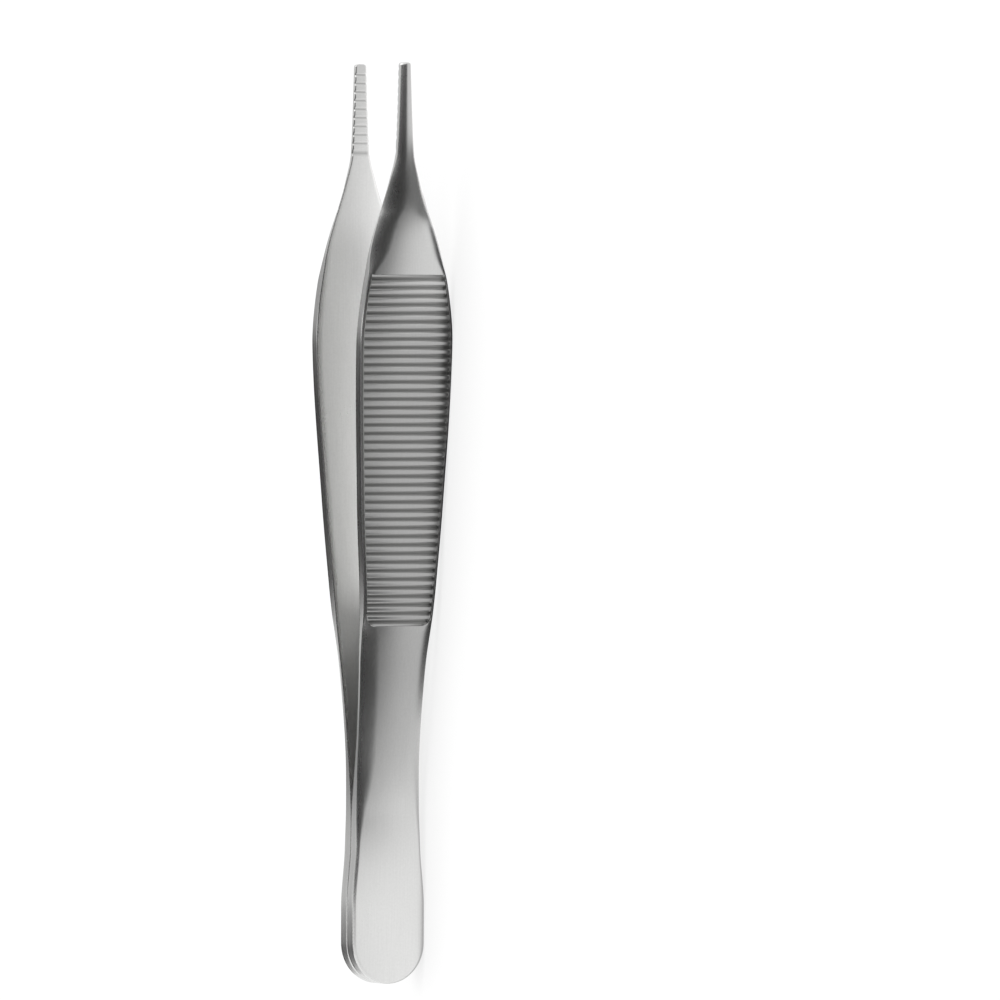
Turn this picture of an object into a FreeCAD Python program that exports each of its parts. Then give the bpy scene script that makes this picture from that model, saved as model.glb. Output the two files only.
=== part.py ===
import FreeCAD, Part
import math
import os

# Thumb forceps of satin stainless steel: two sprung arms, welded face to face
# at the heel. All lengths are in millimetres.
#
# Each arm is drawn with its tip at x = 0 and its heel at x = -length, the join
# plane at y = 0, its outer face towards +y and its width along z. Places along
# an arm are distances back from the tip.

# Overall
length = 120.0
jaw_gap = 10.9

# Width of an arm across its faces, and where each width lies
tip_width = 1.6
jaw_width = 2.45
jaw_length = 11.6
neck_width = 4.2
neck_at = 15.5
shoulder_width = 10.9
shoulder_at = 25.5
grip_width = 13.9
grip_at = 37.0
palm_width = 12.4
palm_at = 57.0
grip_rear_width = 10.5
grip_rear_at = 72.0
waist_width = 9.3
waist_at = 88.5
weld_width = 9.65
weld_width_at = 102.0
heel_width = 10.8
heel_at = 110.0

# Half of the space between the two arms, behind the jaws
weld_length = 21.3
spring_root_space = 1.1
spring_root_at = 88.3
spring_space = 2.3
spring_at = 78.0
grip_rear_space = 3.0
palm_space = 3.9
grip_space = 5.03
shoulder_space = 5.35
neck_space = 5.5

# Thickness of an arm
tip_thickness = 1.05
jaw_thickness = 1.1
neck_thickness = 1.3
neck_thickness_at = 19.5
grip_thickness = 1.87
grip_front_at = 30.0
grip_back_at = 68.0
spring_thickness = 1.35
heel_thickness = 1.75
heel_thickness_at = 97.0

# Rounding of the outer long edges, and how far the middle of the outer face
# stands above where that rounding begins
tip_edge_radius = 0.3
grip_edge_radius = 0.8
spring_edge_radius = 0.5
tip_crown = 0.11
jaw_crown = 0.18
grip_crown = 0.22
spring_crown = 0.13
heel_crown = 0.0
inner_chamfer = 0.15
tip_corner_radius = 0.4
tip_nose_radius = 0.3

# Cross ridges on the outer face
ridges_start = 27.6
ridge_pitch = 1.115
ridge_count = 41
ridge_recess = 0.2
ridge_groove_depth = 0.27
ridge_groove_width = 0.62
ridge_margin = 1.1

# Cross serrations on the inner face of each jaw
serration_count = 9
serration_margin = 0.55
serration_depth = 0.22
serration_width = 0.62
root_groove_width = 0.85
root_groove_depth = 0.14

# Drawing aids: spacing of the cross-sections, and how far a cutter starts
# outside the face that it cuts
section_step = 2.5
cutter_clearance = 0.1


def smooth_curve(points):
    """A value that passes through every (place, value) point without overshoot."""
    places = [p[0] for p in points]
    values = [p[1] for p in points]
    rises = []
    for i in range(len(points) - 1):
        rises.append((values[i + 1] - values[i]) / (places[i + 1] - places[i]))
    slopes = [rises[0]]
    for before, after in zip(rises, rises[1:]):
        turns_back = before * after <= 0
        slopes.append(0.0 if turns_back else 2 * before * after / (before + after))
    slopes.append(0.0)

    def value_at(place):
        if place >= places[-1]:
            return values[-1]
        i = max(k for k in range(len(rises)) if places[k] <= place)
        span = places[i + 1] - places[i]
        t = (place - places[i]) / span
        start = values[i] * (1 + 2 * t) + slopes[i] * span * t
        end = values[i + 1] * (3 - 2 * t) - slopes[i + 1] * span * (1 - t)
        return start * (1 - t) ** 2 + end * t**2

    return value_at


weld_at = length - weld_length
round_at = length - heel_width / 2
ridges_end = ridges_start + ridge_count * ridge_pitch
groove_roots = [ridges_start + (i + 0.5) * ridge_pitch for i in range(ridge_count)]

half_width = smooth_curve([
    (0, tip_width / 2),
    (jaw_length, jaw_width / 2),
    (neck_at, neck_width / 2),
    (shoulder_at, shoulder_width / 2),
    (grip_at, grip_width / 2),
    (palm_at, palm_width / 2),
    (grip_rear_at, grip_rear_width / 2),
    (waist_at, waist_width / 2),
    (weld_width_at, weld_width / 2),
    (heel_at, heel_width / 2),
])
inner_space = smooth_curve([
    (0, jaw_gap / 2),
    (neck_at, neck_space),
    (shoulder_at, shoulder_space),
    (grip_at, grip_space),
    (palm_at, palm_space),
    (grip_rear_at, grip_rear_space),
    (spring_at, spring_space),
    (spring_root_at, spring_root_space),
    (weld_at, 0),
])
thickness = smooth_curve([
    (0, tip_thickness),
    (jaw_length, jaw_thickness),
    (neck_thickness_at, neck_thickness),
    (grip_front_at, grip_thickness),
    (grip_back_at, grip_thickness),
    (spring_at, spring_thickness),
    (spring_root_at, spring_thickness),
    (heel_thickness_at, heel_thickness),
])
edge_radius = smooth_curve([
    (0, tip_edge_radius),
    (jaw_length, tip_edge_radius),
    (grip_front_at, grip_edge_radius),
    (grip_back_at, grip_edge_radius),
    (spring_at, spring_edge_radius),
])
crown = smooth_curve([
    (0, tip_crown),
    (jaw_length, jaw_crown),
    (ridges_start, grip_crown),
    (grip_rear_at, grip_crown),
    (spring_at, spring_crown),
    (weld_at, heel_crown),
])


def outer_face(place):
    """Distance of an arm's outer face from the join plane."""
    return inner_space(place) + thickness(place)


def section_points(place):
    """Corner points of one half of a cross-section, from the outer face to the inner."""
    w = half_width(place)
    r = edge_radius(place)
    turn = 2 * math.atan(crown(place) / (w - r))
    edge_y = outer_face(place) - crown(place) - r
    edge_z = w - r
    half_turn = (turn + math.pi / 2) / 2
    inner_y = inner_space(place)
    return {
        "top": (outer_face(place), 0),
        "crown_end": (edge_y + r * math.cos(turn), edge_z + r * math.sin(turn)),
        "edge_middle": (edge_y + r * math.cos(half_turn), edge_z + r * math.sin(half_turn)),
        "edge_end": (edge_y, w),
        "side_end": (inner_y + inner_chamfer, w),
        "inner_end": (inner_y, w - inner_chamfer),
    }


def section(place):
    """The whole cross-section of an arm, as a closed wire."""
    points = section_points(place)
    up = {name: FreeCAD.Vector(-place, y, z) for name, (y, z) in points.items()}
    down = {name: FreeCAD.Vector(-place, y, -z) for name, (y, z) in points.items()}
    if crown(place) > 0:
        top = Part.Arc(down["crown_end"], up["top"], up["crown_end"]).toShape()
    else:
        top = Part.makeLine(down["crown_end"], up["crown_end"])
    return Part.Wire([
        top,
        Part.Arc(up["crown_end"], up["edge_middle"], up["edge_end"]).toShape(),
        Part.makeLine(up["edge_end"], up["side_end"]),
        Part.makeLine(up["side_end"], up["inner_end"]),
        Part.makeLine(up["inner_end"], down["inner_end"]),
        Part.makeLine(down["inner_end"], down["side_end"]),
        Part.makeLine(down["side_end"], down["edge_end"]),
        Part.Arc(down["edge_end"], down["edge_middle"], down["crown_end"]).toShape(),
    ])


def lofted(start, end):
    """The stretch of an arm between two places, straight from section to section."""
    steps = math.ceil(abs(end - start) / section_step)
    places = [start + (end - start) * i / steps for i in range(steps + 1)]
    return Part.makeLoft([section(place) for place in places], True, True)


def blank():
    """A plain arm: the blade, the flat heel that is welded, and its round end."""
    blade = lofted(weld_at, 0)
    heel = lofted(round_at, weld_at)
    upper_half = Part.makeBox(
        length, length, length, FreeCAD.Vector(-round_at - length / 2, -length / 2, 0)
    )
    profile = Part.Face(section(round_at)).common(upper_half)
    pivot = FreeCAD.Vector(-round_at, 0, 0)
    end = profile.revolve(pivot, FreeCAD.Vector(0, 1, 0), -180)
    return blade.fuse([heel, end]).Solids[0]


def across(points, reach):
    """A solid of the given outline in x and y, as far as reach to either side in z."""
    corners = [FreeCAD.Vector(x, y, -reach) for x, y in points]
    outline = Part.makePolygon(corners + corners[:1])
    return Part.Face(outline).extrude(FreeCAD.Vector(0, 0, 2 * reach))


def ridge_tops(place):
    """Distance of the flat tops of the ridges from the join plane."""
    return outer_face(place) - ridge_recess


def ridge_bed_cutter():
    """What is milled off the crowned outer face to leave a flat bed for the ridges."""
    clear_of_arm = outer_face(grip_at) + grip_thickness
    outline = [(-ridges_end, clear_of_arm), (-ridges_end, ridge_tops(ridges_end))]
    outline += [(-root, ridge_tops(root)) for root in reversed(groove_roots)]
    outline += [(-ridges_start, ridge_tops(ridges_start)), (-ridges_start, clear_of_arm)]
    return across(outline, grip_width)


def ridge_groove(root):
    """One V groove between two ridges, which ends where the rounded edges begin."""
    half = groove_half_width(ridge_groove_width, ridge_groove_depth)
    outline = [
        (-root - half, ridge_tops(root + half) + cutter_clearance),
        (-root + half, ridge_tops(root - half) + cutter_clearance),
        (-root, ridge_tops(root) - ridge_groove_depth),
    ]
    return across(outline, half_width(root) - ridge_margin)


def groove_half_width(width, depth):
    """Half the width of a V cutter where it starts, a little outside the face."""
    return width / 2 * (depth + cutter_clearance) / depth


def inner_groove(root, width, depth):
    """A V groove across the inner face."""
    face = inner_space(root)
    start = face - cutter_clearance
    half = groove_half_width(width, depth)
    outline = [(-root - half, start), (-root + half, start), (-root, face + depth)]
    return across(outline, half_width(root) + cutter_clearance)


def serration_cutters(shift):
    """The cross grooves of one jaw, moved back by a share of their pitch."""
    pad_end = jaw_length - root_groove_width / 2
    pitch = (pad_end - 2 * serration_margin) / serration_count
    cutters = []
    for i in range(serration_count):
        root = serration_margin + (i + 0.5 + shift) * pitch
        cutters.append(inner_groove(root, serration_width, serration_depth))
    cutters.append(inner_groove(jaw_length, root_groove_width, root_groove_depth))
    return cutters


def corner_cutter(corner, side, along, radius):
    """What is ground off one front edge of the tip to round it."""

    def at(forward, outward):
        return corner + FreeCAD.Vector(forward, 0, 0) + side * outward

    short = -radius * (1 - math.sqrt(0.5))
    outline = Part.Wire([
        Part.makeLine(at(-radius, 0), at(-radius, radius)),
        Part.makeLine(at(-radius, radius), at(radius, radius)),
        Part.makeLine(at(radius, radius), at(radius, -radius)),
        Part.makeLine(at(radius, -radius), at(0, -radius)),
        Part.Arc(at(0, -radius), at(short, short), at(-radius, 0)).toShape(),
    ])
    return Part.Face(outline).extrude(along)


def tip_cutters():
    """What rounds the two corners of the tip, and the nose of its outer face."""
    w = tip_width / 2
    top = outer_face(0)
    cutters = []
    for side in (1, -1):
        corner = FreeCAD.Vector(0, 0, side * w)
        through = FreeCAD.Vector(0, 2 * top, 0)
        cutters.append(
            corner_cutter(corner, FreeCAD.Vector(0, 0, side), through, tip_corner_radius)
        )
    corner = FreeCAD.Vector(0, top, -tip_width)
    through = FreeCAD.Vector(0, 0, 2 * tip_width)
    cutters.append(corner_cutter(corner, FreeCAD.Vector(0, 1, 0), through, tip_nose_radius))
    return cutters


def finished_arm(serration_shift):
    """One arm, with its ridges, its serrated jaw and its rounded tip."""
    bedded = blank().cut(ridge_bed_cutter())
    ridged = bedded.cut(Part.makeCompound([ridge_groove(root) for root in groove_roots]))
    serrated = ridged.cut(Part.makeCompound(serration_cutters(serration_shift)))
    return serrated.cut(Part.makeCompound(tip_cutters())).Solids[0]


# The serrations of one jaw fall between those of the other. The forceps lies on
# its side, on the edges of both grips and of the heel, with its tips towards +x,
# the middle of its box on the z axis and its lowest edges at z = 0.
left_arm = finished_arm(0.25)
right_arm = finished_arm(-0.25).mirror(FreeCAD.Vector(0, 0, 0), FreeCAD.Vector(0, 1, 0))

grip_drop = (grip_width - heel_width) / 2 / (round_at - grip_at)
lean = -math.degrees(math.asin(grip_drop))
for arm in (left_arm, right_arm):
    arm.rotate(FreeCAD.Vector(0, 0, 0), FreeCAD.Vector(0, 1, 0), lean)
box = Part.makeCompound([left_arm, right_arm]).optimalBoundingBox(False)
middle = (box.XMin + box.XMax) / 2
for arm in (left_arm, right_arm):
    arm.translate(FreeCAD.Vector(-middle, 0, -box.ZMin))

os.makedirs("parts", exist_ok=True)
for name, arm in (("left_arm", left_arm), ("right_arm", right_arm)):
    arm.exportStep(f"parts/{name}.step")
    print(name, arm.isValid(), round(arm.Volume, 3), len(arm.Faces))
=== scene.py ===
"""Thumb forceps of satin stainless steel, lying on its side in a small white studio.

Two sprung arms are welded face to face at the heel. Each is drawn here from the
same sizes as its CAD solid, with the fine forms that a solid leaves out: crowned
backs, worn cross ridges that run out over the edges, and serrated jaws.
"""

import logging
import math
from dataclasses import dataclass, field
from enum import Enum
from typing import Callable

import bmesh
import bpy
from mathutils import Matrix, Vector

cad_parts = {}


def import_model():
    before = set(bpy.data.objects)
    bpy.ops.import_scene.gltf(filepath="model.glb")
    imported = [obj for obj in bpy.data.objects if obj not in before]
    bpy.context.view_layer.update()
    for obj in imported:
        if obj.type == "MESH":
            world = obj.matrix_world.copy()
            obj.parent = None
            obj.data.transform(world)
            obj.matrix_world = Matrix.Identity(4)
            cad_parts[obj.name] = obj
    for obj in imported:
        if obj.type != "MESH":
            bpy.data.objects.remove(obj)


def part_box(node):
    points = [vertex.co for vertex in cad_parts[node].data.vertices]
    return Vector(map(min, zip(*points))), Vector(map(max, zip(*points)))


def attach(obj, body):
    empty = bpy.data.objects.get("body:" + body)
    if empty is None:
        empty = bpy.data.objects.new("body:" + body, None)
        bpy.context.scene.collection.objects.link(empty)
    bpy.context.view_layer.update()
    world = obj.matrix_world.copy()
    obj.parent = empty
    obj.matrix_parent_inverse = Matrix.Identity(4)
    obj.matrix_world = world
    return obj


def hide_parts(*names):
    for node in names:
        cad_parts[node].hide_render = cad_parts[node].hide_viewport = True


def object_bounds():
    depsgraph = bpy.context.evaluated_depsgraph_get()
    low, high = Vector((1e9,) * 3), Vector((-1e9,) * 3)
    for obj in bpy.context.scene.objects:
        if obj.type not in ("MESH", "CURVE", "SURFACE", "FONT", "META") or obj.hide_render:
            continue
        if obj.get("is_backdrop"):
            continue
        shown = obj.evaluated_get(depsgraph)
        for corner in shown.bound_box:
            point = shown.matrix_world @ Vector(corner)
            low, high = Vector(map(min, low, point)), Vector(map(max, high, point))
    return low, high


log = logging.getLogger("thumb_forceps")

MM = 0.001

Point = tuple[float, float, float]
Curve = Callable[[float], float]


class Side(Enum):
    """Which of the two arms, with the sign of its side of the join plane."""

    LEFT = 1
    RIGHT = -1


def linear(hex_colour: str) -> tuple[float, float, float, float]:
    """Turns an sRGB hex colour into a linear one.

    Args:
        hex_colour: Colour such as "#D8D8D6".

    Returns:
        Red, green, blue and an alpha of 1, in linear light.
    """
    parts = [int(hex_colour[i : i + 2], 16) / 255 for i in (1, 3, 5)]
    flat = [p / 12.92 if p <= 0.04045 else ((p + 0.055) / 1.055) ** 2.4 for p in parts]
    return (flat[0], flat[1], flat[2], 1.0)


def smooth_curve(points: list[tuple[float, float]]) -> Curve:
    """A value that passes through every point without overshoot.

    Args:
        points: Place along an arm and value there, from the tip to the heel.

    Returns:
        A function of the place, constant before the first and after the last point.
    """
    places = [p[0] for p in points]
    values = [p[1] for p in points]
    rises = [
        (values[i + 1] - values[i]) / (places[i + 1] - places[i])
        for i in range(len(points) - 1)
    ]
    slopes = [rises[0]]
    for before, after in zip(rises, rises[1:]):
        turns_back = before * after <= 0
        slopes.append(0.0 if turns_back else 2 * before * after / (before + after))
    slopes.append(0.0)

    def value_at(place: float) -> float:
        """Finds the value at one place.

        Args:
            place: Place along an arm.

        Returns:
            The value there.
        """
        if place >= places[-1]:
            return values[-1]
        within = max(place, places[0])
        i = max(k for k in range(len(rises)) if places[k] <= within)
        span = places[i + 1] - places[i]
        t = (within - places[i]) / span
        start = values[i] * (1 + 2 * t) + slopes[i] * span * t
        end = values[i + 1] * (3 - 2 * t) - slopes[i + 1] * span * (1 - t)
        return start * (1 - t) ** 2 + end * t**2

    return value_at


def even_places(start: float, end: float, step: float) -> list[float]:
    """Places from start to end, both included, a step apart."""
    return [start + step * i for i in range(round((end - start) / step) + 1)]


def eased(value: float, low: float, high: float) -> float:
    """0 below low, 1 above high, and a smooth step between them."""
    t = min(max((value - low) / (high - low), 0.0), 1.0)
    return t * t * (3 - 2 * t)


def soft_least(a: float, b: float, blend: float) -> float:
    """The lesser of two heights, with the corner between them worn round."""
    h = min(max(0.5 + 0.5 * (b - a) / blend, 0.0), 1.0)
    return b + (a - b) * h - blend * h * (1 - h)


@dataclass(frozen=True)
class VGroove:
    """A worn V groove of a given width and depth, in millimetres."""

    width: float
    depth: float
    wear: float = 0.04  # radius of the worn root and shoulders

    def depth_at(self, distance: float) -> float:
        """How deep the groove is at a distance from its root line.

        Args:
            distance: Distance from the root line.

        Returns:
            The depth, which runs out softly to 0 at the groove's shoulders.
        """
        rounded = math.hypot(distance, self.wear) - self.wear
        shoulder = 2 * self.wear / self.width
        return -self.depth * soft_least(rounded / (self.width / 2) - 1, 0.0, shoulder)


@dataclass(frozen=True)
class Ridges:
    """The cross ridges milled into the back of each grip, in millimetres."""

    start: float = 27.6  # where the bed begins, back from the tip
    pitch: float = 1.115
    count: int = 41
    recess: float = 0.2  # how far the ridge tops lie below the plain back
    side_margin: float = 0.35  # plain rim left along each side
    corner_radius: float = 1.3  # the two corners of the bed towards the heel
    step_length: float = 0.14  # how far the step from the rim to the bed runs
    blend: float = 0.05  # wear where the ridges run out over the rounded edges
    bed_painted_shade: float = 0.22  # painted shade on the ridge tops, as a share of the grooves'
    groove: VGroove = VGroove(width=0.66, depth=0.34, wear=0.025)

    @property
    def end(self) -> float:
        """Where the ridged bed ends, towards the heel."""
        return self.start + self.count * self.pitch

    def inside(self, place: float, across: float, half_width: float) -> float:
        """How far a point is inside the ridged bed.

        Args:
            place: Distance back from the tip.
            across: Distance from the middle of the arm's back.
            half_width: Half the arm's width at that place.

        Returns:
            Distance from the edge of the bed, less than 0 outside it.
        """
        to_side = half_width - self.side_margin - abs(across)
        to_end = self.end - place
        if to_end > self.corner_radius or to_side > self.corner_radius:
            return min(place - self.start, to_end, to_side)
        radius = self.corner_radius
        return radius - math.hypot(radius - to_end, radius - to_side)

    def groove_at(self, place: float) -> float:
        """Depth below the ridge tops at one place."""
        phase = ((place - self.start) / self.pitch) % 1.0 - 0.5
        return self.groove.depth_at(abs(phase) * self.pitch)


@dataclass(frozen=True)
class Serrations:
    """The cross serrations of a jaw and the groove behind its pad, in millimetres."""

    count: int = 9
    margin: float = 0.55  # plain steel before the first groove and after the last
    pad_length: float = 11.6
    tooth: VGroove = VGroove(width=0.5, depth=0.14, wear=0.03)
    root: VGroove = VGroove(width=0.85, depth=0.14)

    def depth_at(self, place: float, shift: float) -> float:
        """Depth of the pad's grooves below the inner face.

        Args:
            place: Distance back from the tip.
            shift: How far back the grooves are moved, as a share of their pitch.

        Returns:
            The depth of the deepest groove there.
        """
        pad_end = self.pad_length - self.root.width / 2
        pitch = (pad_end - 2 * self.margin) / self.count
        number = round((place - self.margin) / pitch - 0.5 - shift)
        number = min(max(number, 0), self.count - 1)
        tooth_at = self.margin + (number + 0.5 + shift) * pitch
        return max(
            self.tooth.depth_at(abs(place - tooth_at)),
            self.root.depth_at(abs(place - self.pad_length)),
        )


@dataclass(frozen=True)
class ArmSizes:
    """The form of one arm in millimetres, along places measured back from its tip."""

    length: float = 120.0
    heel_radius: float = 5.4
    widest_at: float = 37.0
    inner_edge: float = 0.15  # rounding where a side meets the inner face
    tip_corner: float = 0.4  # rounding of the tip's two corners, seen from the back
    tip_nose: float = 0.3  # rounding of the tip, seen from the side
    most_edge: float = 0.98  # share of the half width that a rounded edge may take
    bevel_power: float = 2.1  # how a bevelled edge falls away, from flat to steep

    # Half the width of the arm's back.
    half_width: Curve = field(
        default_factory=lambda: smooth_curve(
            [
                (0, 0.8),
                (11.6, 1.3),
                (15.5, 2.3),
                (25.5, 5.45),
                (37.0, 6.95),
                (57.0, 6.2),
                (72.0, 5.25),
                (88.5, 4.65),
                (102.0, 4.825),
                (110.0, 5.4),
            ]
        )
    )

    # From the join plane of the two arms to the inner face.
    inner_space: Curve = field(
        default_factory=lambda: smooth_curve(
            [
                (0, 5.45),
                (15.5, 5.5),
                (25.5, 5.35),
                (37.0, 5.03),
                (57.0, 3.9),
                (72.0, 3.0),
                (78.0, 2.3),
                (88.3, 1.1),
                (98.7, 0.0),
            ]
        )
    )

    # From the inner face to the middle of the back.
    thickness: Curve = field(
        default_factory=lambda: smooth_curve(
            [
                (0, 1.05),
                (11.6, 1.1),
                (19.5, 1.3),
                (30.0, 1.87),
                (68.0, 1.87),
                (78.0, 1.35),
                (88.3, 1.35),
                (97.0, 1.75),
            ]
        )
    )

    # How far the back curves down from its middle to its sides.
    crown: Curve = field(
        default_factory=lambda: smooth_curve(
            [
                (0, 0.16),
                (11.6, 0.2),
                (18.6, 0.36),
                (20.2, 0.3),
                (27.6, 0.4),
                (70.0, 0.4),
                (80.0, 0.2),
                (98.7, 0.0),
            ]
        )
    )

    # How far down each outer edge is rounded off.
    edge_depth: Curve = field(
        default_factory=lambda: smooth_curve(
            [
                (0, 0.5),
                (11.6, 0.55),
                (18.6, 0.8),
                (24.0, 0.75),
                (28.5, 0.35),
                (71.6, 0.35),
                (80.0, 0.66),
                (90.0, 0.66),
                (103.0, 0.35),
            ]
        )
    )

    # How far in from the side that rounding starts.
    edge_reach: Curve = field(
        default_factory=lambda: smooth_curve(
            [
                (0, 0.78),
                (11.6, 1.25),
                (18.8, 2.9),
                (20.2, 2.5),
                (24.0, 2.4),
                (28.5, 0.55),
                (71.6, 0.55),
                (75.0, 2.3),
                (90.0, 2.3),
                (103.0, 0.45),
            ]
        )
    )

    # 0 where the edge is a plain rounding, and more where it is a long soft bevel.
    edge_bevel: Curve = field(
        default_factory=lambda: smooth_curve(
            [
                (11.6, 0.0),
                (20.2, 0.6),
                (26.0, 0.6),
                (28.5, 0.0),
                (71.6, 0.0),
                (74.4, 0.75),
                (90.0, 0.75),
                (103.0, 0.0),
            ]
        )
    )


@dataclass
class Arm:
    """One sprung arm of the forceps, from its serrated jaw to its welded heel.

    Sizes are in millimetres, and wear is a share from 0 to 1.
    """

    side: Side
    node: str
    sizes: ArmSizes = field(default_factory=ArmSizes)
    ridges: Ridges = field(default_factory=Ridges)
    serrations: Serrations = field(default_factory=Serrations)
    serration_shift: float = 0.25  # so that the teeth of the two jaws interlock
    corner_wear: float = 0.6
    wear_power: int = 3  # how sharply the wear gathers at an edge
    face_crowding: float = 0.25  # how much closer the points lie towards the edges
    face_steps: int = 20
    edge_steps: int = 14
    side_steps: int = 4
    corner_steps: int = 3
    inner_steps: int = 8
    heel_steps: int = 36
    tip_steps: int = 8
    stations_per_ridge: int = 12
    jaw_spacing: float = 0.09
    neck_spacing: float = 0.35
    spring_spacing: float = 0.6
    bed_margin: float = 0.4  # close stations before and after the ridged bed
    weld_distance: float = 0.002
    sharp_degrees: float = 48.0  # steeper turns than this stay crisp

    def back_height(self, place: float, across: float) -> tuple[float, float]:
        """Height of the back of the arm above the join plane.

        Args:
            place: Distance back from the tip.
            across: Distance from the middle of the back.

        Returns:
            The height, and how much of the painted groove shade lies there, from 0
            to 1.
        """
        s = self.sizes
        half = self.half_width(place)
        nose = min(place, s.tip_nose)
        top = s.inner_space(place) + s.thickness(place)
        top -= s.tip_nose - math.sqrt(s.tip_nose**2 - (s.tip_nose - nose) ** 2)
        reach = min(s.edge_reach(place), s.most_edge * half)
        edge = min(max((abs(across) - (half - reach)) / reach, 0.0), 1.0)
        depth = s.edge_depth(place) * half / s.half_width(place)
        crown = s.crown(place) * (across / half) ** 2
        bevel = s.edge_bevel(place)
        rounding = 1 - math.sqrt(1 - edge * edge)
        fall = bevel * edge**s.bevel_power + (1 - bevel) * rounding
        plain = top - crown - depth * fall
        bed_share = eased(
            self.ridges.inside(place, across, half), 0.0, self.ridges.step_length
        )
        if bed_share == 0.0:
            return plain, 0.0
        groove = self.ridges.groove_at(place)
        bed = top - crown - self.ridges.recess - groove
        cut = soft_least(plain, bed, self.ridges.blend)
        height = plain + (cut - plain) * bed_share
        # painted shade: full at the groove roots, a smaller share on the ridge tops
        share = groove / self.ridges.groove.depth
        tone = self.ridges.bed_painted_shade
        return height, bed_share * (tone + (1 - tone) * share)

    def half_width(self, place: float) -> float:
        """Half the arm's width, with the two corners of the tip rounded.

        Args:
            place: Distance back from the tip.

        Returns:
            Half the width there.
        """
        corner = self.sizes.tip_corner
        near = min(place, corner)
        lost = corner - math.sqrt(corner**2 - (corner - near) ** 2)
        return self.sizes.half_width(place) - lost

    def half_section(self, place: float) -> list[tuple[float, float, float, float]]:
        """Points of one half of a cross-section, from the back to the inner face.

        Args:
            place: Distance back from the tip.

        Returns:
            Points as distance across, height above the join plane, share of the
            painted groove shade and share of wear.
        """
        s = self.sizes
        half = self.half_width(place)
        reach = min(s.edge_reach(place), s.most_edge * half)
        cut = self.serrations.depth_at(place, self.serration_shift * self.side.value)
        # painted shade in the jaw's serration grooves, carried over the inner face and its
        # corner
        tooth_shade = cut / self.serrations.tooth.depth
        inner = s.inner_space(place) + cut
        points = []
        for i in range(self.face_steps):
            share = i / self.face_steps
            crowding = 1 + self.face_crowding - self.face_crowding * share
            across = (half - reach) * share * crowding
            height, groove = self.back_height(place, across)
            points.append((across, height, groove, 0.0))
        for i in range(self.edge_steps + 1):
            angle = math.pi / 2 * i / self.edge_steps
            across = half - reach + reach * math.sin(angle)
            height, groove = self.back_height(place, across)
            wear = math.sin(angle) ** self.wear_power
            points.append((across, height, groove, wear))
        side_top = points[-1][1]
        side_end = inner + s.inner_edge
        for i in range(1, self.side_steps):
            share = i / self.side_steps
            wear = abs(2 * share - 1) ** self.wear_power
            points.append((half, side_top + (side_end - side_top) * share, 0.0, wear))
        for i in range(self.corner_steps + 1):
            angle = math.pi / 2 * i / self.corner_steps
            across = half - s.inner_edge * (1 - math.cos(angle))
            height = side_end - s.inner_edge * math.sin(angle)
            points.append((across, height, tooth_shade, self.corner_wear))
        for i in range(1, self.inner_steps + 1):
            share = 1 - i / self.inner_steps
            points.append(((half - s.inner_edge) * share, inner, tooth_shade, 0.0))
        return points

    def stations(self) -> list[float]:
        """Chooses where cross-sections are drawn.

        Returns:
            Places along the arm, close together where the form is fine, from the
            tip to the start of the round heel.
        """
        s = self.sizes
        jaw_end = self.serrations.pad_length + self.serrations.root.width
        round_at = s.length - s.heel_radius
        step = self.ridges.pitch / self.stations_per_ridge
        turn = math.pi / (2 * self.tip_steps)
        tip = [s.tip_corner * (1 - math.cos(turn * i)) for i in range(self.tip_steps)]
        bed_start, bed_end = self.ridges.start, self.ridges.end

        def spread(start: float, end: float, spacing: float) -> list[float]:
            """Even places from start up to end, without the end."""
            number = max(1, round((end - start) / spacing))
            return [start + (end - start) * i / number for i in range(number)]

        places = tip + spread(s.tip_corner, jaw_end, self.jaw_spacing)
        places += spread(jaw_end, bed_start - self.bed_margin, self.neck_spacing)
        places += spread(bed_start - self.bed_margin, bed_start, step)
        places += spread(bed_start, bed_end, step)
        places += spread(bed_end, bed_end + self.bed_margin, step)
        places += spread(bed_end + self.bed_margin, round_at, self.spring_spacing)
        return places + [round_at]

    def rings(self) -> tuple[list[list[Point]], list[list[tuple[float, float]]]]:
        """Closed rings of points from the tip to the heel, still in millimetres.

        Returns:
            The rings, and the shares of painted groove shade and of wear at their points.
        """
        s = self.sizes
        round_at = s.length - s.heel_radius
        turns = [(place, 0.0) for place in self.stations()]
        turns += [
            (round_at, math.pi / 2 * i / self.heel_steps)
            for i in range(1, self.heel_steps + 1)
        ]
        rings, shares = [], []
        for place, turn in turns:
            half = self.half_section(place)
            loop = half + [(-a, h, g, w) for a, h, g, w in reversed(half[1:-1])]
            side = self.side.value
            rings.append(
                [
                    (-place - abs(a) * math.sin(turn), side * h, a * math.cos(turn))
                    for a, h, _, _ in loop
                ]
            )
            shares.append([(g, w) for _, _, g, w in loop])
        return rings, shares

    def lean(self) -> Matrix:
        """Finds how the forceps leans when its grips and its heel lie on the floor.

        Returns:
            The turn about the sideways axis.
        """
        s = self.sizes
        drop = s.half_width(s.widest_at) - s.heel_radius
        run = s.length - s.heel_radius - s.widest_at
        return Matrix.Rotation(-math.asin(drop / run), 4, "Y")

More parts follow.
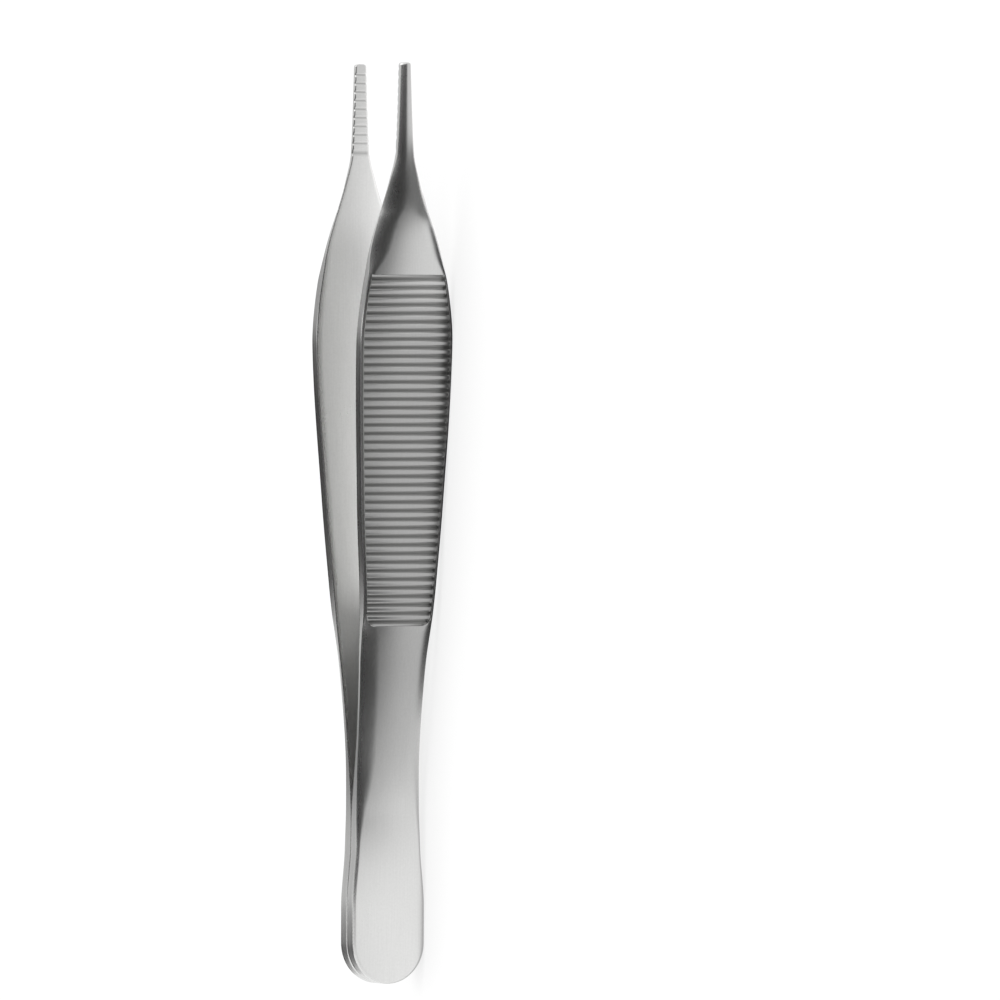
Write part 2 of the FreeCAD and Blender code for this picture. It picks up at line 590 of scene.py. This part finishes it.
    def build(self) -> bpy.types.Object:
        """Builds the arm's mesh and puts it where its CAD solid lies.

        Returns:
            The new object, linked to the scene and shaded smooth.
        """
        rings, shares = self.rings()
        size = len(rings[0])
        points = [p for ring in rings for p in ring]
        faces = []
        for r in range(len(rings) - 1):
            ring, following = r * size, (r + 1) * size
            for i in range(size):
                j = (i + 1) % size
                face = [ring + i, ring + j, following + j, following + i]
                faces.append(face if self.side is Side.LEFT else face[::-1])
        tip = list(range(size))
        faces.append(tip[::-1] if self.side is Side.LEFT else tip)
        mesh = bpy.data.meshes.new(self.node + "_steel")
        mesh.from_pydata(points, [], faces)
        # groove: share of painted shade in the grooves; wear: share of edge wear
        for name, index in (("groove", 0), ("wear", 1)):
            layer = mesh.attributes.new(name, "FLOAT", "POINT")
            layer.data.foreach_set("value", [p[index] for ring in shares for p in ring])
        mesh.transform(self.lean() @ Matrix.Scale(MM, 4))
        self.weld_points(mesh)
        self.place(mesh)
        piece = bpy.data.objects.new(self.node + "_steel", mesh)
        bpy.context.scene.collection.objects.link(piece)
        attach(piece, "root")
        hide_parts(self.node)
        log.info("%s: %d faces", piece.name, len(mesh.polygons))
        return piece

    def weld_points(self, mesh: bpy.types.Mesh) -> None:
        """Joins the points that meet where the round heel closes, and shades smooth.

        Args:
            mesh: The arm's mesh, in metres.
        """
        form = bmesh.new()
        form.from_mesh(mesh)
        bmesh.ops.remove_doubles(form, verts=form.verts, dist=self.weld_distance * MM)
        bmesh.ops.recalc_face_normals(form, faces=form.faces)
        form.to_mesh(mesh)
        form.free()
        mesh.shade_smooth()
        mesh.set_sharp_from_angle(angle=math.radians(self.sharp_degrees))

    def place(self, mesh: bpy.types.Mesh) -> None:
        """Moves the mesh so that its tip and its lowest edge meet the CAD solid's.

        Args:
            mesh: The arm's mesh, in metres and already leaning.
        """
        low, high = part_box(self.node)
        tip = max(v.co.x for v in mesh.vertices)
        bottom = min(v.co.z for v in mesh.vertices)
        mesh.transform(Matrix.Translation((high.x - tip, 0, low.z - bottom)))


def add_node(
    tree: bpy.types.NodeTree,
    kind: str,
    settings: dict[str, object] | None = None,
    inputs: dict[str | int, object] | None = None,
) -> bpy.types.Node:
    """Adds a node with its settings and links.

    Args:
        tree: The node tree that gets the node.
        kind: The node's type, such as "ShaderNodeTexNoise".
        settings: Properties of the node by name.
        inputs: Input sockets by name or number, each with a value or an output
            socket to link.

    Returns:
        The new node.
    """
    node = tree.nodes.new(kind)
    for name, value in (settings or {}).items():
        setattr(node, name, value)
    for name, value in (inputs or {}).items():
        if isinstance(value, bpy.types.NodeSocket):
            tree.links.new(value, node.inputs[name])
        else:
            node.inputs[name].default_value = value
    return node


@dataclass(frozen=True)
class SatinSteel:
    """Martensitic stainless steel, ground along the arm and glass-bead blasted.

    The blasting gives the eye an even silver-grey sheen with a fine mottle and no
    clear reflections; the grinding shows as faint lines along the arm; handling
    polishes the edges. The grooves and the ridged bed get a painted shade, darker
    than the steel around them.
    """

    name: str = "satin_stainless_steel"
    bright: str = "#E4E4E3"
    dull: str = "#CDCDCC"
    # painted shade for the grooves and the ridged bed
    groove_painted_shade: str = "#B2B2B1"
    edge_tone: str = "#E2E2E1"
    roughness: float = 0.32
    smoother: float = 0.05  # how far handling takes the roughness down
    rougher: float = 0.07  # how far the blasting leaves it up elsewhere
    edge_roughness: float = 0.21
    bead_mm: float = 0.30  # real dimples are near 0.05 mm: drawn coarser to show
    grind_width_mm: float = 0.16  # real grinding lines are near 0.02 mm: drawn coarser
    grind_length_mm: float = 7.0
    grind_share: float = 0.5  # grinding lines in the mottle, the rest being dimples
    handling_mm: float = 11.0  # about the size of a fingertip's touch
    handling_share: float = 0.55
    relief_mm: float = 0.006
    relief_strength: float = 0.5
    noise_range: tuple[float, float] = (0.3, 0.7)  # where nearly all noise values lie

    def material(self) -> bpy.types.Material:
        """Builds the node material.

        Returns:
            The material, ready to be put on both arms.
        """
        made = bpy.data.materials.new(self.name)
        made.use_nodes = True
        tree = made.node_tree
        tree.nodes.clear()
        coords = add_node(tree, "ShaderNodeTexCoord").outputs["Object"]
        beads = self.noise(tree, coords, [self.bead_mm] * 3, detail=2.0)
        across = self.grind_width_mm
        grain = [self.grind_length_mm, across, across]
        grind = self.noise(tree, coords, grain, detail=3.0)
        handling = self.noise(tree, coords, [self.handling_mm] * 3, detail=1.0)
        # share of painted shade in the grooves and on the ridged bed
        groove = add_node(tree, "ShaderNodeAttribute", {"attribute_name": "groove"})
        wear = add_node(tree, "ShaderNodeAttribute", {"attribute_name": "wear"})

        mottle = self.mixed(tree, beads, grind, self.grind_share)
        face = add_node(
            tree,
            "ShaderNodeMix",
            {"data_type": "RGBA"},
            {0: mottle, 6: linear(self.dull), 7: linear(self.bright)},
        )
        # painted shade: the colour darkens towards the groove colour where that share is
        # high
        groove_shaded = add_node(
            tree,
            "ShaderNodeMix",
            {"data_type": "RGBA"},
            {0: groove.outputs["Fac"], 6: face.outputs[2], 7: linear(self.groove_painted_shade)},
        )
        worn = add_node(
            tree,
            "ShaderNodeMix",
            {"data_type": "RGBA"},
            {0: wear.outputs["Fac"], 6: groove_shaded.outputs[2], 7: linear(self.edge_tone)},
        )
        uneven = self.mixed(tree, mottle, handling, self.handling_share)
        spread = add_node(
            tree,
            "ShaderNodeMapRange",
            None,
            {
                "Value": uneven,
                "From Min": self.noise_range[0],
                "From Max": self.noise_range[1],
                "To Min": self.roughness - self.smoother,
                "To Max": self.roughness + self.rougher,
            },
        )
        rough = add_node(
            tree,
            "ShaderNodeMix",
            {"data_type": "FLOAT"},
            {0: wear.outputs["Fac"], 2: spread.outputs[0], 3: self.edge_roughness},
        )
        relief = add_node(
            tree,
            "ShaderNodeBump",
            None,
            {
                "Strength": self.relief_strength,
                "Distance": self.relief_mm * MM,
                "Height": mottle,
            },
        )
        shader = add_node(
            tree,
            "ShaderNodeBsdfPrincipled",
            None,
            {
                "Base Color": worn.outputs[2],
                "Metallic": 1.0,
                "Roughness": rough.outputs[0],
                "Normal": relief.outputs["Normal"],
            },
        )
        add_node(
            tree,
            "ShaderNodeOutputMaterial",
            None,
            {"Surface": shader.outputs["BSDF"]},
        )
        return made

    def noise(
        self,
        tree: bpy.types.NodeTree,
        coords: bpy.types.NodeSocket,
        grain_mm: list[float],
        detail: float,
    ) -> bpy.types.NodeSocket:
        """Noise whose grain has a real size.

        Args:
            tree: The material's node tree.
            coords: Object coordinates, in metres.
            grain_mm: Size of the grain along x, y and z, in millimetres.
            detail: How many finer octaves are added.

        Returns:
            The noise, from 0 to 1.
        """
        scale = [1 / (size * MM) for size in grain_mm]
        mapped = add_node(
            tree, "ShaderNodeMapping", None, {"Vector": coords, "Scale": scale}
        )
        noise = add_node(
            tree,
            "ShaderNodeTexNoise",
            None,
            {"Vector": mapped.outputs[0], "Scale": 1.0, "Detail": detail},
        )
        return noise.outputs["Fac"]

    def mixed(
        self,
        tree: bpy.types.NodeTree,
        first: bpy.types.NodeSocket,
        second: bpy.types.NodeSocket,
        share: float,
    ) -> bpy.types.NodeSocket:
        """Mixes two values.

        Args:
            tree: The material's node tree.
            first: The first value.
            second: The second value.
            share: The share of the second in the mix.

        Returns:
            The mixed value.
        """
        node = add_node(
            tree,
            "ShaderNodeMix",
            {"data_type": "FLOAT"},
            {0: share, 2: first, 3: second},
        )
        return node.outputs[0]


@dataclass(frozen=True)
class PaintedReflectionCard:
    """A glowing card with a soft run of greys, which only the steel mirrors.

    It paints light and shade into the steel's reflections; the camera, diffuse light
    and shadows pass through it, and it lights nothing else.
    """

    name: str
    rows: list[list[Point]]
    tones: list[list[float]]

    def build(self) -> None:
        """Builds the card as part of the stage."""
        width = len(self.rows[0])
        points = [p for row in self.rows for p in row]
        faces = [
            [i, i + 1, i + 1 + width, i + width]
            for r in range(len(self.rows) - 1)
            for i in range(r * width, (r + 1) * width - 1)
        ]
        mesh = bpy.data.meshes.new(self.name)
        mesh.from_pydata(points, [], faces)
        layer = mesh.attributes.new("tone", "FLOAT", "POINT")
        layer.data.foreach_set("value", [t for row in self.tones for t in row])
        card = bpy.data.objects.new(self.name, mesh)
        bpy.context.scene.collection.objects.link(card)
        # seen only by glossy rays, so it paints only the steel's reflections
        for unseen in ("camera", "diffuse", "transmission", "volume_scatter", "shadow"):
            setattr(card, "visible_" + unseen, False)
        card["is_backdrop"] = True
        reflection_paint = bpy.data.materials.new(self.name)
        reflection_paint.use_nodes = True
        tree = reflection_paint.node_tree
        tree.nodes.clear()
        tone = add_node(tree, "ShaderNodeAttribute", {"attribute_name": "tone"})
        light = add_node(
            tree, "ShaderNodeEmission", None, {"Strength": tone.outputs["Fac"]}
        )
        add_node(tree, "ShaderNodeOutputMaterial", None, {"Surface": light.outputs[0]})
        reflection_paint.cycles.emission_sampling = "NONE"
        mesh.materials.append(reflection_paint)


@dataclass(frozen=True)
class Tones:
    """How light each card is, at places in millimetres back from the tips: painted
    light and shade that the steel's reflections show.

    The order is that in which the steel mirrors them, from the rounding of the
    near arm's upper edge over to its top side, and then down to the floor.
    """

    # The low part of the card that stands before the near arm: painted reflection.
    front: Curve = field(
        default_factory=lambda: smooth_curve(
            [
                (-20, 0.3),
                (0, 0.1),
                (14, 0.02),
                (26, 0.06),
                (32, 0.42),
                (68, 0.4),
                (75, 0.02),
                (103, 0.02),
                (110, 0.4),
                (116, 0.9),
            ]
        )
    )

    # Its high part and the front of the roof: a painted dark reflection along the upper
    # edge.
    high: Curve = field(
        default_factory=lambda: smooth_curve(
            [
                (-20, 0.3),
                (0, 0.1),
                (14, 0.02),
                (26, 0.04),
                (32, 0.12),
                (68, 0.12),
                (75, 0.02),
                (103, 0.02),
                (110, 0.4),
                (116, 0.9),
            ]
        )
    )

    # The rear of the roof: painted reflection on the last turn of the edge.
    top: Curve = field(
        default_factory=lambda: smooth_curve(
            [
                (9, 0.6),
                (13, 0.05),
                (21, 0.1),
                (26, 0.95),
                (31, 0.95),
                (38, 0.03),
                (98, 0.03),
                (107, 0.8),
                (114, 0.7),
                (122, 0.3),
            ]
        )
    )

    # The card behind the forceps: painted reflection on the flat upper sides of both arms.
    rear: Curve = field(
        default_factory=lambda: smooth_curve(
            [
                (5, 0.7),
                (15, 0.5),
                (22, 0.36),
                (29, 0.42),
                (38, 0.04),
                (73, 0.04),
                (77, 0.85),
                (84, 0.6),
                (91, 0.2),
                (104, 0.65),
                (110, 0.65),
                (118, 0.1),
            ]
        )
    )

    # The sheet on the floor before the near arm: painted reflection on most of that arm's
    # back.
    sheet: Curve = field(
        default_factory=lambda: smooth_curve(
            [
                (9, 0.8),
                (12.5, 0.2),
                (18.8, 0.2),
                (20.0, 0.95),
                (27, 0.95),
                (34, 0.68),
                (68, 0.65),
                (78, 0.6),
                (90, 0.74),
                (100, 1.0),
                (115, 1.12),
            ]
        )
    )

    # Painted shadow on that sheet right at the arm's foot: the dark line it paints below
    # the back.
    painted_foot_shadow: Curve = field(
        default_factory=lambda: smooth_curve(
            [
                (19, 0.0),
                (21, 0.9),
                (30, 1.0),
                (70, 1.0),
                (80, 0.7),
                (87, 0.0),
                (99, 0.4),
                (115, 0.5),
            ]
        )
    )

    # How dark it grows farther out: painted shade on the upper part of the back.
    drop: Curve = field(
        default_factory=lambda: smooth_curve(
            [
                (0, 0.95),
                (27, 0.95),
                (32, 0.7),
                (70, 0.7),
                (78, 1.0),
                (98, 0.95),
                (106, 0.1),
            ]
        )
    )

    # How far from the arm, in millimetres, that painted shade starts.
    drop_from: Curve = field(
        default_factory=lambda: smooth_curve(
            [
                (9, 12),
                (12.5, 4),
                (18.8, 4),
                (20.5, 11),
                (27, 12),
                (31, 19),
                (71, 19),
                (77, 7),
            ]
        )
    )

    # The glowing strip on the floor between the arms, brighter than white in places:
    # painted light in the far arm's inner face.
    gap: Curve = field(
        default_factory=lambda: smooth_curve(
            [
                (0, 1.35),
                (20, 1.4),
                (40, 1.65),
                (58, 2.0),
                (67, 2.1),
                (70, 0.05),
                (73, 0.01),
            ]
        )
    )


@dataclass(frozen=True)
class Studio:
    """White paper under soft light, in a tent of glowing cards that only the steel
    mirrors: they paint light and shade into its reflections.

    The cards' sizes are in millimetres. Sideways, the near arm is at minus.
    """

    sizes: ArmSizes
    tones: Tones = field(default_factory=Tones)
    paper: str = "#F2F2F2"
    paper_reach_m: float = 4.0
    paper_drop: float = 0.01  # so that the paper and the forceps don't share a plane
    glow: float = 0.72  # how much of plain white the eye sees in place of the shading
    lamp_size_m: float = 1.4
    lamp_watts: float = 7.0
    lamp_at_m: tuple[float, float, float] = (0.35, 0.1, 1.1)

    middle_at: float = 60.0  # the place on the forceps at the middle of the scene
    cards_start: float = -20.0
    cards_end: float = 140.0
    wall_step: float = 2.0
    front_at: float = 45.0
    front_split: float = 14.0  # height where the front card's low part ends
    roof_height: float = 60.0
    roof_split: float = -8.0
    rear_at: float = 35.0
    rear_foot: float = 4.0  # height of the rear card's lower edge

    sheet_height: float = 0.2
    sheet_step: float = 1.0
    sheet_reaches: tuple[float, ...] = (
        (-1.2, 0.2, 0.5, 0.8, 1.1, 1.5, 3.0, 5.0, 8.0)
        + (11.0, 14.0, 18.0, 22.0, 26.0, 31.0, 37.0, 60.0)
    )
    band_reach: tuple[float, float] = (0.2, 1.5)  # where the painted dark line at the arm's foot fades out
    # how dark the painted foot shadow gets
    band_depth: float = 0.96
    drop_stretch: float = 1.5  # the sheet's painted shade is darkest this many times as far out
    drop_length: float = 14.0  # and this much more, as where it starts to darken

    gap_height: float = 0.3
    gap_places: tuple[float, float, float] = (1.0, 95.0, 2.0)  # start, end and step
    gap_rows: int = 9
    gap_fall: float = 0.45  # painted shade: how much darker the strip is at the arms' feet
    foot_clearance: float = 0.4  # room between the strip's sides and the arms
    least_gap: float = 0.05

    strip_side: float = -5.4  # just inside the near jaw
    strip_places: tuple[float, float] = (9.0, 21.0)
    strip_heights: tuple[float, float] = (0.3, 4.0)

    def build(self) -> None:
        """Builds the floor, the sky, the lamp and the cards."""
        self.build_sky()
        self.build_floor()
        self.build_lamp()
        foot = (-self.front_at, 0.0)
        split = (-self.front_at, self.front_split)
        front_top = (-self.front_at, self.roof_height)
        ridge = (self.roof_split, self.roof_height)
        rear_top = (self.rear_at, self.roof_height)
        # cards that paint light and shade into the steel's reflections
        self.wall("front_low_card", foot, split, self.tones.front)
        self.wall("front_high_card", split, front_top, self.tones.high)
        self.wall("roof_front_card", front_top, ridge, self.tones.high)
        self.wall("roof_rear_card", ridge, rear_top, self.tones.top)
        rear_low = (self.rear_at, self.rear_foot)
        self.wall("rear_card", rear_top, rear_low, self.tones.rear)
        self.front_sheet()
        self.gap_sheet()
        self.jaw_strip()

    def x_at(self, place: float) -> float:
        """Where a place along the forceps is in the scene, in metres."""
        return (self.middle_at - place) * MM

    def wall(
        self,
        name: str,
        start: tuple[float, float],
        end: tuple[float, float],
        tone: Curve,
    ) -> None:
        """Builds a straight card along the forceps.

        Args:
            name: The card's name.
            start: Distance sideways and height of one long edge.
            end: The same for the other long edge.
            tone: How light the card is along the forceps.
        """
        places = even_places(self.cards_start, self.cards_end, self.wall_step)
        rows = [
            [(self.x_at(place), y * MM, z * MM) for place in places]
            for y, z in (start, end)
        ]
        PaintedReflectionCard(name, rows, [[tone(place) for place in places]] * 2).build()

    def front_sheet(self) -> None:
        """Builds the card on the floor before the near arm, from its back outwards; it
        paints light and shade into that arm's reflections.
        """
        t = self.tones
        places = even_places(self.cards_start, self.cards_end, self.sheet_step)
        rows, tones = [], []
        for reach in self.sheet_reaches:
            row, shades = [], []
            for place in places:
                back = self.sizes.inner_space(place) + self.sizes.thickness(place)
                y, z = -(back + reach) * MM, self.sheet_height * MM
                row.append((self.x_at(place), y, z))
                # painted shadow at the arm's foot, and painted shade farther out
                near = t.painted_foot_shadow(place) * (1 - eased(reach, *self.band_reach))
                start = t.drop_from(place)
                end = self.drop_stretch * start + self.drop_length
                far = t.drop(place) * eased(reach, start, end)
                shades.append(t.sheet(place) * (1 - self.band_depth * near) * (1 - far))
            rows.append(row)
            tones.append(shades)
        PaintedReflectionCard("front_sheet", rows, tones).build()

    def gap_sheet(self) -> None:
        """Builds the card on the floor between the two arms, which paints light into
        their reflections.
        """
        middle = self.gap_rows // 2
        rows, tones = [], []
        for i in range(self.gap_rows):
            share = (i - middle) / middle
            row, shades = [], []
            for place in even_places(*self.gap_places):
                free = self.sizes.inner_space(place) - self.foot_clearance
                reach = share * max(free, self.least_gap)
                row.append((self.x_at(place), reach * MM, self.gap_height * MM))
                # painted light in the strip, with painted shade towards the arms' feet
                shades.append(self.tones.gap(place) * (1 - self.gap_fall * share**2))
            rows.append(row)
            tones.append(shades)
        PaintedReflectionCard("gap_sheet", rows, tones).build()

    def jaw_strip(self) -> None:
        """Builds the low white strip under the near jaw, for the far jaw to mirror."""
        rows = [
            [
                (self.x_at(place), self.strip_side * MM, height * MM)
                for place in self.strip_places
            ]
            for height in self.strip_heights
        ]
        PaintedReflectionCard("jaw_strip", rows, [[1.0, 1.0]] * 2).build()

    def build_sky(self) -> None:
        """An even white surround."""
        world = bpy.data.worlds.new("white_surround")
        world.use_nodes = True
        background = world.node_tree.nodes["Background"]
        background.inputs["Color"].default_value = (1, 1, 1, 1)
        background.inputs["Strength"].default_value = 1.0
        bpy.context.scene.world = world

    def build_floor(self) -> None:
        """Matt white paper that shows as white, and keeps a soft shadow."""
        r = self.paper_reach_m
        mesh = bpy.data.meshes.new("floor")
        corners = [(-r, -r, 0), (r, -r, 0), (r, r, 0), (-r, r, 0)]
        mesh.from_pydata(corners, [], [[0, 1, 2, 3]])
        floor = bpy.data.objects.new("floor", mesh)
        floor.location.z = -self.paper_drop * MM
        bpy.context.scene.collection.objects.link(floor)
        floor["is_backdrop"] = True
        paper = bpy.data.materials.new("white_paper")
        paper.use_nodes = True
        tree = paper.node_tree
        tree.nodes.clear()
        path = add_node(tree, "ShaderNodeLightPath")
        seen = path.outputs["Is Camera Ray"]
        for name in ("Is Glossy Ray", "Is Transmission Ray"):
            either = add_node(
                tree,
                "ShaderNodeMath",
                {"operation": "MAXIMUM"},
                {0: seen, 1: path.outputs[name]},
            )
            seen = either.outputs[0]
        share = add_node(
            tree,
            "ShaderNodeMath",
            {"operation": "MULTIPLY"},
            {0: seen, 1: self.glow},
        )
        matt = add_node(
            tree, "ShaderNodeBsdfDiffuse", None, {"Color": linear(self.paper)}
        )
        light = add_node(tree, "ShaderNodeEmission", None, {"Strength": 1.0})
        mix = add_node(
            tree,
            "ShaderNodeMixShader",
            None,
            {0: share.outputs[0], 1: matt.outputs[0], 2: light.outputs[0]},
        )
        add_node(tree, "ShaderNodeOutputMaterial", None, {"Surface": mix.outputs[0]})
        mesh.materials.append(paper)

    def build_lamp(self) -> None:
        """One large soft box overhead, a little towards the tips."""
        data = bpy.data.lights.new("soft_box", "AREA")
        data.shape = "SQUARE"
        data.size = self.lamp_size_m
        data.energy = self.lamp_watts
        lamp = bpy.data.objects.new("soft_box", data)
        lamp.location = self.lamp_at_m
        lamp.rotation_mode = "QUATERNION"
        towards = Vector((0, 0, 0)) - lamp.location
        lamp.rotation_quaternion = towards.to_track_quat("-Z", "Y")
        bpy.context.scene.collection.objects.link(lamp)


@dataclass(frozen=True)
class PhotoCamera:
    """A long lens that looks down on the forceps, with its tips at the top."""

    elevation: float = 31.0
    distance: float = 1.5  # metres
    pixels_per_mm: float = 7.67
    picture_pixels: float = 1000.0
    object_at: tuple[float, float] = (379.5, 523.5)  # pixels from the top left
    sensor_mm: float = 36.0
    near_limit: float = 0.05  # metres
    far_limit: float = 20.0  # metres

    def build(self, aim: Vector, long_axis: Vector) -> None:
        """Places the camera.

        Args:
            aim: The middle of the forceps.
            long_axis: The way from its heel to its tips.
        """
        e = math.radians(self.elevation)
        back = Vector((0, -math.cos(e), math.sin(e)))
        up = (long_axis - long_axis.dot(back) * back).normalized()
        right = up.cross(back)
        pixel = MM / self.pixels_per_mm
        middle = self.picture_pixels / 2
        shift_right = (middle - self.object_at[0]) * pixel
        shift_up = (self.object_at[1] - middle) * pixel
        target = aim + right * shift_right + up * shift_up
        data = bpy.data.cameras.new("camera")
        data.sensor_width = self.sensor_mm
        data.lens = data.sensor_width * self.distance / (self.picture_pixels * pixel)
        data.clip_start = self.near_limit
        data.clip_end = self.far_limit
        camera = bpy.data.objects.new("camera", data)
        turn = Matrix((right, up, back)).transposed().to_4x4()
        camera.matrix_world = Matrix.Translation(target + back * self.distance) @ turn
        bpy.context.scene.collection.objects.link(camera)
        bpy.context.scene.camera = camera


def main() -> None:
    """Builds the forceps, its studio and its camera, in that order."""
    logging.basicConfig(level=logging.INFO, format="%(name)s %(message)s")
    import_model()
    cad_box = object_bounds()
    steel = SatinSteel().material()
    arms = [Arm(Side.LEFT, "left_arm"), Arm(Side.RIGHT, "right_arm")]
    for arm in arms:
        piece = arm.build()
        piece.data.materials.append(steel)
    Studio(arms[0].sizes).build()
    low, high = cad_box
    long_axis = arms[0].lean() @ Vector((1, 0, 0))
    PhotoCamera().build((low + high) / 2, long_axis)
    bpy.context.scene.view_settings.view_transform = "Standard"
    log.info("studio and camera are in place")


if __name__ == "__main__":
    main()
